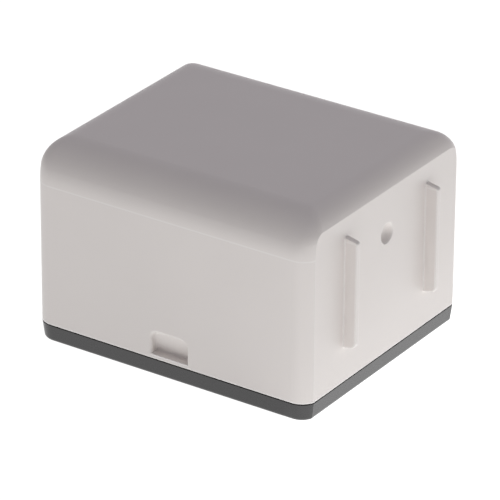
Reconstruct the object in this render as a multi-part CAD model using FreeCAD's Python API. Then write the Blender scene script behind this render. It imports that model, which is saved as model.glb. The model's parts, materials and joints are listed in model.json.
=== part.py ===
"""Wall battery unit: a pack of six round cells on a wall plate, under a cover that pulls straight off.

Millimetres. +Z points away from the wall, and the wall plate's back lies on z = 0.
X runs along the cells. The finger pocket is in the -Y side, the two guide fins are on the +X end.
"""
import FreeCAD, Part
import math
import os

from FreeCAD import Vector

# ---- driving dimensions ---------------------------------------------------------------------------

# outer body
LENGTH = 90.0
WIDTH = 77.5
HEIGHT = 59.8
PLAN_R = 5.5          # corner radius in plan
END_TRIM = 0.4        # how far the flat ends cut into the rounded ends, which leaves a crisp edge
SHOULDER_R = 11.2     # long top edges
CORNER_FADE = 0.95    # share of the plan corner's radius that has gone where the top begins
LOW_STEPS = 3         # levels of the rolled top, below and above where its ends begin to roll
DOME_STEPS = 9
END_TOP_R = 7.2       # short top edges
BAND = 5.2            # height of the wall plate's visible band
GAP = 0.35            # shadow gap between the band and the cover
COVER_FOOT = BAND + GAP
WALL = 2.0            # cover's wall
INNER_CORNER = 1.0    # how much tighter the cover's inner corners are than an even wall would give

# wall plate
FLOOR = 2.4
BAND_TAPER = 0.65     # how far the band's sides come in at the wall
BAND_EDGE_R = 1.2
TONGUE_OUT = 2.25     # tongue's outer and inner faces, in from the outline
TONGUE_IN = 3.6
TONGUE_TOP = 9.0
POCKET_CLEARANCE = 0.3  # beside the pocket's well, where the tongue is notched
NOTCH_MARGIN = 0.5    # how far the notch runs past both faces of the tongue
GROOVE_OUT = 0.85     # gasket groove beside the tongue
GROOVE_IN = 1.95
GROOVE_FLOOR = 4.1
GASKET_TOP = 5.48
WALL_SCREW_X = 37.4
WALL_SCREW_Y = 22.0
WALL_SCREW_R = 1.9
COUNTERSINK_R = 3.6
COUNTERSINK_FLOOR = 1.0
ENTRY_X = -36.8       # cable entry
ENTRY_R = 3.2
ENTRY_FLANGE_R = 4.4
ENTRY_BORE_R = 1.75
ENTRY_RECESS = 0.9
ENTRY_BACK = 0.1      # the grommet's outer face, in from the wall
ENTRY_LIP = 1.0
ENTRY_TAPER = 0.4
SLACK = 0.03          # between the rubber parts and their seats

# corner posts that the cover pushes onto, with a spigot in the wall plate
POST_X = 37.8
POST_Y = 31.4
POST_FOOT_R = 3.2
POST_SHOULDER = 9.5
POST_R = 2.2
POST_TOP = 17.5
SPIGOT_R = 1.6
SPIGOT_LOW = 0.9
RING_Z = 12.6
RING_WIDTH = 1.3
RING_INNER_R = 1.75
RING_OUTER_R = 2.22
SOCKET_R = 2.25
SOCKET_WALL_R = 3.9
SOCKET_TOP = 21.0
SOCKET_WEB = 0.8
SOCKET_LIFT = 0.02    # between a socket's foot and its post's shoulder
SOCKET_DEPTH_SPARE = 1.5

# cover's outer features
POCKET_HALF = 5.85    # finger pocket
POCKET_FLOOR = 6.7
POCKET_ROOF = 13.6
POCKET_CORNER_R = 2.4
POCKET_DEPTH = 3.1    # at its floor
POCKET_ROOF_DEPTH = 0.95
POCKET_INNER_R = 0.55  # where its back meets its walls
POCKET_RIM_R = 0.95
FIN_Y = 20.3
FIN_THICK = 1.75
FIN_OUT = 3.9
FIN_ROOT = 0.5        # how deep a fin is set into the cover
FIN_LOW = 16.0        # at the fin's root
FIN_HIGH = 49.3
FIN_SLOPE = 0.22      # how fast a fin's ends draw in towards its tip
FIN_LOW_R = 1.6
FIN_HIGH_R = 0.9
FIN_EDGE_R = 0.4
DIMPLE_Z = 41.9
DIMPLE_R = 3.0
DIMPLE_DEPTH = 1.85
DIMPLE_RIM_R = 0.35
DIMPLE_BOSS_R = 4.6   # thickening behind the dimple
DIMPLE_BOSS = 1.6
LINER_THICK = 1.4
LINER_HALF_X = 29.0
LINER_HALF_Y = 20.0
LINER_CORNER_R = 3.0

# cells, held by a bracket at each end
CELL_R = 9.2
CELL_PITCH = 19.6
CELL_HALF = 32.4
CAP_R = 3.2
CAP_HEIGHT = 0.4
GROOVE_PLACE = 3.2    # rolled groove, from the positive end
GROOVE_WIDTH = 1.0
GROOVE_DEPTH = 0.7
INSULATOR_R = 8.4
CELL_LOW_Z = 13.0
BRACKET_IN = 25.6
BRACKET_OUT = 32.3
BRACKET_HALF_Y = 30.2
BRACKET_R = 9.0
BRACKET_HOLE_R = 9.23
BRACKET_TOP = 43.2
LIGHTENING_R = 3.1    # holes between the cells
BOARD_BOSS_R = 2.7    # bosses that carry the board
BOARD_PILOT_LOW = 42.0
FOOT_Y = 10.5
FOOT_X = 36.4
FOOT_HALF = 3.1
FOOT_THICK = 2.2
FOOT_Z = 4.4
FOOT_SCREW_R = 1.2
FOOT_PILOT_R = 1.25    # the screws' holes in the wall plate's bosses
FOOT_PILOT_LOW = 1.0
FOOT_HOLE_R = 1.4
STRIP_THICK = 0.25
STRIP_HALF = 4.0
SHEET_X = 32.75
SHEET_THICK = 0.25
SHEET_HALF_Y = 28.6
SHEET_LOW = 7.2
SHEET_HIGH = 41.4
SHEET_CORNER_R = 4.0
SLOT_HALF_Y = 2.2     # slots that the leads come through
SLOT_HALF_Z = 3.0

# circuit board and what stands on it
BOARD_HALF_X = 31.0
BOARD_HALF_Y = 23.0
BOARD_LOW = 45.2
BOARD_TOP = 46.8
BOARD_CORNER_R = 2.0
BOARD_HOLE_R = 1.4
BOARD_SCREW_X = 28.6
BOARD_SCREW_Y = 19.8
BOARD_SCREW_R = 1.2
PAD_X = 27.1
PAD_Y = 14.0
LEAD_R = 1.0
LEAD_FACE = 34.3
LEAD_LOW = 24.0
LEAD_TURN_Z = 50.0
SENSE_R = 0.6
SENSE_FACE = 33.9
SENSE_Y = 9.0
JOINT_DROP = 2.4      # height of the solder below a lead's end

# terminal block, one clamp for each wire
BLOCK_X0 = -31.0
BLOCK_X1 = -21.8
BLOCK_HALF_Y = 6.0
BLOCK_TOP = 55.8
POLE_Y = 2.75
CAGE_X0 = -29.6
CAGE_X1 = -23.2
CAGE_HALF_Y = 1.95
CAGE_LOW = 47.7
CAGE_HIGH = 52.9
WINDOW_HALF_Y = 1.3
WINDOW_LOW = 48.4
WINDOW_HIGH = 52.0
TONGUE_HIGH = 51.7
CAGE_TRAVEL = 1.35
CLAMP_SCREW_X = -26.4
CLAMP_SCREW_R = 1.1
CLAMP_HEAD_R = 1.75
CLAMP_HEAD_LOW = 54.45
CLAMP_HEAD_HIGH = 55.7
CLAMP_TIP = 51.8      # a clamp screw's lower end
CLAMP_SLOT = 0.7      # depth of its slot
CONTACT_FIT = 0.02    # room round a contact in the block and the board
PLAY = 0.05

# parts on the board: places of their middles, and sizes along X, Y and Z
CHIP_X = -4.0
CHIP_SIZE = (4.4, 6.6, 1.1)
CHIP_LEADS = 8
CHIP_PITCH = 0.75
CHIP_REACH = 3.2      # a lead's outer end, from the chip's middle
MOSFET_PLACES = [(-14.0, y) for y in (-9.0, -3.0, 3.0, 9.0)]
MOSFET_SIZE = (5.2, 4.6, 1.2)
SHUNT_PLACE = (-10.0, 16.0)
SHUNT_SIZE = (6.4, 3.2, 0.8)
FUSE_PLACE = (3.5, 16.0)
FUSE_SIZE = (8.2, 3.4, 3.0)
FUSE_CAP_SIZE = (2.0, 4.0, 3.5)
CAPACITOR_PLACES = [(17.0, 15.6), (24.0, 8.4)]
CAPACITOR_R = 3.15
CAPACITOR_TOP = BOARD_TOP + 6.6
CAPACITOR_FOOT = 0.9  # height of its square base
INDUCTOR_PLACE = (23.7, -2.4)
INDUCTOR_HALF = 3.5
CHIPLET_SIZE = (1.6, 0.8, 0.55)
CHIPLET_PITCH = 2.4
BEAD_R = 1.5          # thermistor

# slide switch and wake button
SWITCH_TOP = BOARD_TOP + 3.6
SWITCH_NUB = 1.5
SWITCH_X = 12.0
SWITCH_Y = -17.5
SWITCH_TRAVEL = 2.0
BUTTON_X = -6.0
BUTTON_Y = -17.5
BUTTON_TRAVEL = 0.3
BUTTON_ROOM = BOARD_TOP + 1.5
PLUNGER_R = 1.75
COLLAR_R = 2.2

HALF_L = LENGTH / 2
HALF_W = WIDTH / 2
CELL_COLUMNS = (-CELL_PITCH, 0.0, CELL_PITCH)
CELL_LEVELS = (CELL_LOW_Z, CELL_LOW_Z + CELL_PITCH)
X, Y, Z = Vector(1, 0, 0), Vector(0, 1, 0), Vector(0, 0, 1)


# ---- helpers --------------------------------------------------------------------------------------

def box(x0, x1, y0, y1, z0, z1):
    return Part.makeBox(x1 - x0, y1 - y0, z1 - z0, Vector(x0, y0, z0))


def rod(radius, x, y, z0, z1):
    return Part.makeCylinder(radius, z1 - z0, Vector(x, y, z0), Z)


def rod_x(radius, x0, x1, y, z):
    return Part.makeCylinder(radius, x1 - x0, Vector(x0, y, z), X)


def tube(inner, outer, x, y, z0, z1):
    return rod(outer, x, y, z0, z1).cut(rod(inner, x, y, z0 - 1, z1 + 1))


def line(p, q):
    return Part.LineSegment(p, q).toShape()


def arc(p, q, centre):
    """Short arc from p to q about centre."""
    middle = (p + q) * 0.5 - centre
    middle.normalize()
    return Part.Arc(p, centre + middle * (p - centre).Length, q).toShape()


def fuse(shapes):
    return shapes[0].multiFuse(shapes[1:]).removeSplitter()


def group(shapes):
    return Part.makeCompound(shapes)


def four(x, y):
    """The four places (+-x, +-y)."""
    return [(i * x, j * y) for i in (-1, 1) for j in (-1, 1)]


def turned(points, centre_x, centre_y):
    """A solid of revolution about the upright axis through (centre_x, centre_y), from (radius, z) points."""
    corners = [Vector(centre_x + r, centre_y, z) for r, z in points]
    face = Part.Face(Part.makePolygon(corners + corners[:1]))
    return face.revolve(Vector(centre_x, centre_y, 0), Z, 360)


def outline(inset, z):
    """The body's plan outline, inset all round: arcs at the corners, cut crisply by the flat ends."""
    a = HALF_L - inset
    b = HALF_W - inset
    r = PLAN_R - inset
    cx = a + END_TRIM - r
    cy = b - r
    ye = cy + math.sqrt(r * r - (a - cx) ** 2)
    edges = []
    for sx, sy in ((1, -1), (1, 1), (-1, 1), (-1, -1)):
        on_side = Vector(sx * cx, sy * b, z)
        on_end = Vector(sx * a, sy * ye, z)
        centre = Vector(sx * cx, sy * cy, z)
        first, last = (on_side, on_end) if sx * sy < 0 else (on_end, on_side)
        if edges:
            edges.append(line(edges[-1].Vertexes[-1].Point, first))
        edges.append(arc(first, last, centre))
    edges.append(line(edges[-1].Vertexes[-1].Point, edges[0].Vertexes[0].Point))
    return Part.Wire(edges)


def slab(inset, z0, z1):
    return Part.Face(outline(inset, z0)).extrude(Z * (z1 - z0))


def rounded_box(x0, x1, y0, y1, z0, z1, radius):
    """A box with its four upright edges rounded."""
    body = box(x0, x1, y0, y1, z0, z1)
    upright = [e for e in body.Edges if abs(e.Vertexes[0].Z - e.Vertexes[1].Z) > 1e-6]
    return body.makeFillet(radius, upright)


def rounded_outline(half_x, half_y, radius, z):
    """A rectangle with rounded corners, as a wire that starts at its -Y side."""
    corners = ((half_x, -half_y), (half_x, half_y), (-half_x, half_y), (-half_x, -half_y))
    edges = []
    for x, y in corners:
        sx = math.copysign(radius, x)
        sy = math.copysign(radius, y)
        on_side = Vector(x - sx, y, z)
        on_end = Vector(x, y - sy, z)
        first, last = (on_side, on_end) if x * y < 0 else (on_end, on_side)
        if edges:
            edges.append(line(edges[-1].Vertexes[-1].Point, first))
        edges.append(arc(first, last, Vector(x - sx, y - sy, z)))
    edges.append(line(edges[-1].Vertexes[-1].Point, edges[0].Vertexes[0].Point))
    return Part.Wire(edges)


def domed_block(half_x, half_y, foot, top, shoulder_r, plan_r, end_r):
    """A block whose long top edges roll over with shoulder_r and whose short ones roll over with end_r.

    Each level is a rounded rectangle, so the two rolls meet in soft corners that tighten upwards.
    """
    def level(rise):
        side_in = shoulder_r - math.sqrt(max(0.0, shoulder_r ** 2 - rise ** 2))
        end_rise = max(0.0, rise - spring)
        end_in = end_r - math.sqrt(max(0.0, end_r ** 2 - end_rise ** 2))
        radius = plan_r * (1 - CORNER_FADE * side_in / shoulder_r)
        return rounded_outline(half_x - end_in, half_y - side_in, radius, top - shoulder_r + rise)

    spring = shoulder_r - end_r
    low = [level(spring * step / LOW_STEPS) for step in range(LOW_STEPS + 1)]
    turn = math.radians(90 / DOME_STEPS)
    high = [level(spring + end_r * math.sin(turn * step)) for step in range(DOME_STEPS + 1)]
    wall = Part.Face(rounded_outline(half_x, half_y, plan_r, foot)).extrude(Z * (top - shoulder_r - foot))
    return wall.fuse([Part.makeLoft(low, True, False), Part.makeLoft(high, True, False)])


def wire_run(points, radii, wire_r):
    """A round lead along straight runs, joined at the inner points by tangent arcs of the given radii."""
    edges = []
    start = points[0]
    for i in range(1, len(points) - 1):
        back = points[i - 1] - points[i]
        on = points[i + 1] - points[i]
        back.normalize()
        on.normalize()
        half = back.getAngle(on) / 2
        reach = radii[i - 1] / math.tan(half)
        enter = points[i] + back * reach
        leave = points[i] + on * reach
        inward = back + on
        inward.normalize()
        centre = points[i] + inward * (radii[i - 1] / math.sin(half))
        if (enter - start).Length > 1e-6:
            edges.append(line(start, enter))
        edges.append(Part.Arc(enter, centre - inward * radii[i - 1], leave).toShape())
        start = leave
    edges.append(line(start, points[-1]))
    path = Part.Wire(edges)
    first = path.Edges[0].tangentAt(path.Edges[0].FirstParameter)
    ring = Part.Wire(Part.makeCircle(wire_r, points[0], first))
    return path.makePipeShell([ring], True, True), path.Length


# ---- wall plate -----------------------------------------------------------------------------------

def band():
    body = Part.makeLoft([outline(BAND_TAPER, 0), outline(0, BAND)], True, True)
    low = [e for e in body.Edges if all(abs(v.Z) < 1e-6 for v in e.Vertexes)]
    return body.makeFillet(BAND_EDGE_R, low)


def wall_plate():
    body = band().fuse(slab(TONGUE_OUT, BAND, TONGUE_TOP)).cut(slab(TONGUE_IN, FLOOR, TONGUE_TOP + 1))
    body = body.cut(slab(GROOVE_OUT, GROOVE_FLOOR, BAND + 1).cut(slab(GROOVE_IN, GROOVE_FLOOR - 1, BAND + 2)))
    added = []
    for x, y in four(FOOT_X, FOOT_Y):
        added.append(rod(FOOT_HALF, x, y, FLOOR, FOOT_Z))
    body = fuse([body] + added)
    notch = POCKET_HALF + WALL + POCKET_CLEARANCE
    notch_out = -HALF_W + TONGUE_OUT - NOTCH_MARGIN
    notch_in = -HALF_W + TONGUE_IN + NOTCH_MARGIN
    tools = [box(-notch, notch, notch_out, notch_in, BAND, TONGUE_TOP + 1)]
    for x, y in four(WALL_SCREW_X, WALL_SCREW_Y):
        tools.append(rod(WALL_SCREW_R, x, y, -1, FLOOR))
        sink = Part.makeCone(
            WALL_SCREW_R, COUNTERSINK_R, FLOOR - COUNTERSINK_FLOOR, Vector(x, y, COUNTERSINK_FLOOR), Z
        )
        tools.append(sink)
        tools.append(rod(COUNTERSINK_R, x, y, FLOOR, TONGUE_TOP))
    for x, y in four(FOOT_X, FOOT_Y):
        tools.append(rod(FOOT_PILOT_R, x, y, FOOT_PILOT_LOW, FOOT_Z + 1))
    for x, y in four(POST_X, POST_Y):
        tools.append(rod(SPIGOT_R, x, y, SPIGOT_LOW, FLOOR + 1))
    tools.append(rod(ENTRY_R, ENTRY_X, 0, -1, FLOOR + 1))
    tools.append(rod(ENTRY_FLANGE_R + PLAY, ENTRY_X, 0, -1, ENTRY_RECESS))
    return body.cut(tools)


def seal_gasket():
    ring = slab(GROOVE_OUT + SLACK, GROOVE_FLOOR, GASKET_TOP)
    return ring.cut(slab(GROOVE_IN - SLACK, GROOVE_FLOOR - 1, GASKET_TOP + 1))


def cable_grommet():
    neck = ENTRY_R - SLACK
    points = [
        (ENTRY_BORE_R, ENTRY_BACK),
        (ENTRY_FLANGE_R, ENTRY_BACK),
        (ENTRY_FLANGE_R, ENTRY_RECESS),
        (neck, ENTRY_RECESS),
        (neck, FLOOR),
        (ENTRY_FLANGE_R, FLOOR),
        (ENTRY_FLANGE_R - ENTRY_TAPER, FLOOR + ENTRY_LIP),
        (ENTRY_BORE_R, FLOOR + ENTRY_LIP),
    ]
    return turned(points, ENTRY_X, 0)


def corner_posts():
    """Posts set into the wall plate, each with a shoulder for the cover and a groove for its ring."""
    posts = []
    for x, y in four(POST_X, POST_Y):
        spigot = rod(SPIGOT_R, x, y, SPIGOT_LOW, FLOOR)
        foot = rod(POST_FOOT_R, x, y, FLOOR, POST_SHOULDER)
        post = fuse([foot, spigot, rod(POST_R, x, y, POST_SHOULDER, POST_TOP)])
        posts.append(post.cut(tube(RING_INNER_R, POST_R + 1, x, y, RING_Z, RING_Z + RING_WIDTH)))
    return group(posts)


def post_rings():
    z0 = RING_Z + SLACK
    z1 = RING_Z + RING_WIDTH - SLACK
    return group([tube(RING_INNER_R, RING_OUTER_R, x, y, z0, z1) for x, y in four(POST_X, POST_Y)])


# ---- cover ----------------------------------------------------------------------------------------

def pocket_profile(grow, y):
    """Outline of the finger pocket in a plane of constant y: square below, rounded above."""
    x = POCKET_HALF + grow
    r = POCKET_CORNER_R + grow
    z0 = POCKET_FLOOR - grow
    z1 = POCKET_ROOF + grow
    a, b = Vector(-x, y, z0), Vector(x, y, z0)
    c, d = Vector(x, y, z1 - r), Vector(x - r, y, z1)
    e, f = Vector(-x + r, y, z1), Vector(-x, y, z1 - r)
    right = Vector(x - r, y, z1 - r)
    left = Vector(-x + r, y, z1 - r)
    return Part.Wire([line(a, b), line(b, c), arc(c, d, right), line(d, e), arc(e, f, left), line(f, a)])


def pocket_block(grow):
    """The finger pocket's space, grown by an even amount: its back leans out towards its roof."""
    slope = (POCKET_DEPTH - POCKET_ROOF_DEPTH) / (POCKET_ROOF - POCKET_FLOOR)
    back = -HALF_W + POCKET_DEPTH + grow * math.hypot(1, slope)
    front = -HALF_W - 5.0
    reach = 3 * WALL
    low = POCKET_FLOOR - reach
    high = POCKET_ROOF + reach
    corners = [
        Vector(-HALF_L, front, low),
        Vector(-HALF_L, back + slope * reach, low),
        Vector(-HALF_L, back - slope * (high - POCKET_FLOOR), high),
        Vector(-HALF_L, front, high),
    ]
    lean = Part.Face(Part.makePolygon(corners + corners[:1])).extrude(X * LENGTH)
    mouth = Part.Face(pocket_profile(grow, front)).extrude(Y * (back + reach - front))
    space = mouth.common(lean)
    rim = [e for e in space.Edges if all(v.Y > -HALF_W + 0.1 for v in e.Vertexes)]
    return space.makeFillet(POCKET_INNER_R + grow, rim)


def round_pocket_rim(shell):
    """Rounds the pocket's mouth on its sides and roof, and leaves its floor edge square."""
    rim = []
    for edge in shell.Edges:
        middle = edge.valueAt((edge.FirstParameter + edge.LastParameter) / 2)
        inside = abs(middle.x) <= POCKET_HALF + 0.01 and POCKET_FLOOR + 0.1 < middle.z <= POCKET_ROOF + 0.01
        if abs(middle.y + HALF_W) < 1e-4 and inside and edge.Length < 2 * POCKET_HALF:
            rim.append(edge)
    return shell.makeFillet(POCKET_RIM_R, rim)


def guide_fin(y):
    """A thin upright fin on the +X end, drawn in towards its tip and rounded at its outer corners."""
    root = HALF_L - FIN_ROOT
    tip = HALF_L + FIN_OUT
    draw = FIN_SLOPE * FIN_OUT
    back = FIN_SLOPE * FIN_ROOT
    side = y - FIN_THICK / 2
    corners = [
        Vector(root, side, FIN_LOW - back),
        Vector(tip, side, FIN_LOW + draw),
        Vector(tip, side, FIN_HIGH - draw),
        Vector(root, side, FIN_HIGH + back),
    ]
    fin = Part.Face(Part.makePolygon(corners + corners[:1])).extrude(Y * FIN_THICK)
    for z, radius in ((FIN_LOW + draw, FIN_LOW_R), (FIN_HIGH - draw, FIN_HIGH_R)):
        corner = Vector(tip, y, z)
        fin = fin.makeFillet(radius, [e for e in fin.Edges if (e.CenterOfMass - corner).Length < 1e-6])
    rim = [
        e for e in fin.Edges
        if abs(e.CenterOfMass.x - root) > 0.01 and abs(abs(e.CenterOfMass.y - y) - FIN_THICK / 2) < 1e-4
    ]
    return fin.makeFillet(FIN_EDGE_R, rim)


def dimple():
    """The ball that presses the dimple into the +X end."""
    radius = (DIMPLE_R ** 2 + DIMPLE_DEPTH ** 2) / (2 * DIMPLE_DEPTH)
    return Part.makeSphere(radius, Vector(HALF_L + radius - DIMPLE_DEPTH, 0, DIMPLE_Z))


def round_dimple_rim(shell):
    rim = [
        e for e in shell.Edges
        if abs(e.CenterOfMass.x - HALF_L) < 1e-3 and abs(e.CenterOfMass.z - DIMPLE_Z) < 0.1
        and abs(e.Length - 2 * math.pi * DIMPLE_R) < 0.01
    ]
    return shell.makeFillet(DIMPLE_RIM_R, rim)


def corner_socket(x, y):
    """A socket for one post, tied to the cover's two walls by webs."""
    low = POST_SHOULDER + SOCKET_LIFT
    end = math.copysign(HALF_L - WALL / 2, x)
    side = math.copysign(HALF_W - WALL / 2, y)
    x0, x1 = sorted((x, end))
    y0, y1 = sorted((y, side))
    to_end = box(x0, x1, y - SOCKET_WEB, y + SOCKET_WEB, low, SOCKET_TOP)
    to_side = box(x - SOCKET_WEB, x + SOCKET_WEB, y0, y1, low, SOCKET_TOP)
    return [rod(SOCKET_WALL_R, x, y, low, SOCKET_TOP), to_end, to_side]


def cover_shell():
    outer = domed_block(HALF_L + END_TRIM, HALF_W, COVER_FOOT, HEIGHT, SHOULDER_R, PLAN_R, END_TOP_R)
    outer = outer.common(box(-HALF_L, HALF_L, -HALF_W - 1, HALF_W + 1, 0, HEIGHT + 1))
    inner_r = PLAN_R - WALL - INNER_CORNER
    a, b, roof = HALF_L - WALL, HALF_W - WALL, HEIGHT - WALL
    hollow = domed_block(a, b, COVER_FOOT - 2, roof, SHOULDER_R - WALL, inner_r, END_TOP_R - WALL)
    well = pocket_block(WALL).common(box(-HALF_L, HALF_L, -HALF_W + 0.5, 0, COVER_FOOT, HEIGHT))
    shell = outer.cut(hollow.cut(well))
    inner_face = HALF_L - WALL
    sockets = [rod_x(DIMPLE_BOSS_R, inner_face - DIMPLE_BOSS, inner_face + WALL / 4, 0, DIMPLE_Z)]
    for x, y in four(POST_X, POST_Y):
        sockets += corner_socket(x, y)
    shell = fuse([shell] + sockets)
    bores = [rod(SOCKET_R, x, y, 0, POST_TOP + SOCKET_DEPTH_SPARE) for x, y in four(POST_X, POST_Y)]
    shell = shell.cut(bores + [dimple(), pocket_block(0)])
    shell = round_dimple_rim(round_pocket_rim(shell))
    return fuse([shell, guide_fin(-FIN_Y), guide_fin(FIN_Y)])


def cover_liner():
    roof = HEIGHT - WALL
    x, y = LINER_HALF_X, LINER_HALF_Y
    return rounded_box(-x, x, -y, y, roof - LINER_THICK, roof, LINER_CORNER_R)


# ---- cells ----------------------------------------------------------------------------------------

def cell_places():
    """Column, level and which end is positive, for each cell: neighbouring columns point opposite ways."""
    places = []
    for column, y in enumerate(CELL_COLUMNS):
        for z in CELL_LEVELS:
            places.append((y, z, 1 if column % 2 == 0 else -1))
    return places


def cell(y, z, plus):
    """A sleeved steel can with the rolled groove near its positive end."""
    x0, x1 = (-CELL_HALF, CELL_HALF - CAP_HEIGHT) if plus > 0 else (-CELL_HALF + CAP_HEIGHT, CELL_HALF)
    can = rod_x(CELL_R, x0, x1, y, z)
    groove = x1 - GROOVE_PLACE if plus > 0 else x0 + GROOVE_PLACE - GROOVE_WIDTH
    neck = rod_x(CELL_R - GROOVE_DEPTH, groove, groove + GROOVE_WIDTH, y, z)
    return can.cut(rod_x(CELL_R + 1, groove, groove + GROOVE_WIDTH, y, z).cut(neck))


def cell_caps():
    caps = []
    for y, z, plus in cell_places():
        x0 = CELL_HALF - CAP_HEIGHT if plus > 0 else -CELL_HALF
        caps.append(rod_x(CAP_R, x0, x0 + CAP_HEIGHT, y, z))
    return group(caps)


def insulator_rings():
    rings = []
    for y, z, plus in cell_places():
        x0 = CELL_HALF - CAP_HEIGHT if plus > 0 else -CELL_HALF + CAP_HEIGHT - SHEET_THICK
        disc = rod_x(INSULATOR_R, x0, x0 + SHEET_THICK, y, z)
        rings.append(disc.cut(rod_x(CAP_R + 0.1, x0 - 1, x0 + 1, y, z)))
    return group(rings)


def cell_bracket(side):
    """An end frame that holds the six cells, stands on the plate by two feet and carries the board."""
    x0, x1 = sorted((side * BRACKET_IN, side * BRACKET_OUT))
    frame = box(x0, x1, -BRACKET_HALF_Y, BRACKET_HALF_Y, FLOOR, BRACKET_TOP)
    corners = [
        e for e in frame.Edges
        if abs(e.Vertexes[0].X - e.Vertexes[1].X) > 1 and e.Vertexes[0].Z > FLOOR + 1
    ]
    frame = frame.makeFillet(BRACKET_R, corners)
    added = []
    for y in (-FOOT_Y, FOOT_Y):
        a, b = sorted((side * (BRACKET_OUT - 1), side * FOOT_X))
        added.append(box(a, b, y - FOOT_HALF, y + FOOT_HALF, FOOT_Z, FOOT_Z + FOOT_THICK))
        added.append(rod(FOOT_HALF, side * FOOT_X, y, FOOT_Z, FOOT_Z + FOOT_THICK))
    for y in (-BOARD_SCREW_Y, BOARD_SCREW_Y):
        added.append(rod(BOARD_BOSS_R, side * BOARD_SCREW_X, y, BRACKET_TOP - 1, BOARD_LOW))
    frame = fuse([frame] + added)
    tools = []
    for y in CELL_COLUMNS:
        for z in CELL_LEVELS:
            tools.append(rod_x(BRACKET_HOLE_R, x0 - 1, x1 + 1, y, z))
    middle = (CELL_LEVELS[0] + CELL_LEVELS[1]) / 2
    for y in (-CELL_PITCH / 2, CELL_PITCH / 2):
        tools.append(rod_x(LIGHTENING_R, x0 - 1, x1 + 1, y, middle))
    for y in (-FOOT_Y, FOOT_Y):
        tools.append(rod(FOOT_HOLE_R, side * FOOT_X, y, FOOT_Z - 1, FOOT_Z + FOOT_THICK + 1))
    for y in (-BOARD_SCREW_Y, BOARD_SCREW_Y):
        tools.append(rod(BOARD_SCREW_R + SLACK, side * BOARD_SCREW_X, y, BOARD_PILOT_LOW, BOARD_LOW + 1))
    return frame.cut(tools)


def strip_plate(side, y0, y1, z0, z1):
    x0, x1 = sorted((side * CELL_HALF, side * (CELL_HALF + STRIP_THICK)))
    return box(x0, x1, y0, y1, z0, z1)


def nickel_strips(side, single, pair):
    """One strip over a single column, and one in the shape of an H over two neighbouring columns."""
    z0 = CELL_LEVELS[0] - STRIP_HALF
    z1 = CELL_LEVELS[1] + STRIP_HALF
    middle = (CELL_LEVELS[0] + CELL_LEVELS[1]) / 2
    lone = strip_plate(side, single - STRIP_HALF, single + STRIP_HALF, z0, z1)
    legs = [strip_plate(side, y - STRIP_HALF, y + STRIP_HALF, z0, z1) for y in pair]
    bridge = strip_plate(side, min(pair), max(pair), middle - STRIP_HALF, middle + STRIP_HALF)
    return group([lone, fuse(legs + [bridge])])


def lead_ends(side):
    """Places (y, z, radius) on one end face where a lead is soldered to its strip."""
    main_y = side * PAD_Y
    return [(main_y, LEAD_LOW, LEAD_R), (-side * SENSE_Y, LEAD_LOW, SENSE_R)]


def insulator_sheet(side):
    """Paper sheet over the strips, slotted where the leads come through."""
    x0, x1 = sorted((side * SHEET_X, side * (SHEET_X + SHEET_THICK)))
    sheet = box(x0, x1, -SHEET_HALF_Y, SHEET_HALF_Y, SHEET_LOW, SHEET_HIGH)
    corners = [e for e in sheet.Edges if abs(e.Vertexes[0].X - e.Vertexes[1].X) > 0.1]
    sheet = sheet.makeFillet(SHEET_CORNER_R, corners)
    slots = []
    for y, z, _ in lead_ends(side):
        slots.append(box(x0 - 1, x1 + 1, y - SLOT_HALF_Y, y + SLOT_HALF_Y, z - SLOT_HALF_Z, z + SLOT_HALF_Z))
    return sheet.cut(slots)


# ---- circuit board --------------------------------------------------------------------------------

def circuit_board():
    x, y = BOARD_HALF_X, BOARD_HALF_Y
    board = rounded_box(-x, x, -y, y, BOARD_LOW, BOARD_TOP, BOARD_CORNER_R)
    screws = four(BOARD_SCREW_X, BOARD_SCREW_Y)
    holes = [rod(BOARD_HOLE_R, x, y, BOARD_LOW - 1, BOARD_TOP + 1) for x, y in screws]
    legs = [terminal_contact(y, CONTACT_FIT) for y in (-POLE_Y, POLE_Y)]
    return board.cut(holes + legs)


def pan_screw(x, y, seat, shank_r, depth, head_r, head_h):
    """A pan-head screw with a cross recess, its head's underside on seat."""
    head = rod(head_r, x, y, seat, seat + head_h)
    rim = [e for e in head.Edges if all(abs(v.Z - seat - head_h) < 1e-6 for v in e.Vertexes)]
    head = head.makeFillet(head_h * 0.45, [e for e in rim if e.Length > head_r])
    shank = rod(shank_r, x, y, seat - depth, seat)
    arm = head_r * 0.6
    half = head_r * 0.12
    low = seat + head_h * 0.45
    cross = [
        box(x - arm, x + arm, y - half, y + half, low, seat + head_h + 1),
        box(x - half, x + half, y - arm, y + arm, low, seat + head_h + 1),
    ]
    return head.fuse(shank).removeSplitter().cut(cross)


def board_screws():
    places = four(BOARD_SCREW_X, BOARD_SCREW_Y)
    return group([pan_screw(x, y, BOARD_TOP, BOARD_SCREW_R, 4.2, 2.3, 1.5) for x, y in places])


def bracket_screws():
    seat = FOOT_Z + FOOT_THICK
    return group([pan_screw(x, y, seat, 1.2, 5.0, 2.4, 1.6) for x, y in four(FOOT_X, FOOT_Y)])


def main_lead(side):
    """A thick lead from an end strip, up the end of the pack, over the board's edge and down to its pad."""
    start = Vector(side * LEAD_FACE, side * PAD_Y, LEAD_LOW)
    over = (LEAD_FACE - PAD_X) / 2
    top = LEAD_TURN_Z + over
    points = [
        start,
        Vector(side * LEAD_FACE, side * PAD_Y, top),
        Vector(side * PAD_X, side * PAD_Y, top),
        Vector(side * PAD_X, side * PAD_Y, BOARD_TOP),
    ]
    return wire_run(points, [over - 0.01, over - 0.01], LEAD_R)


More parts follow.
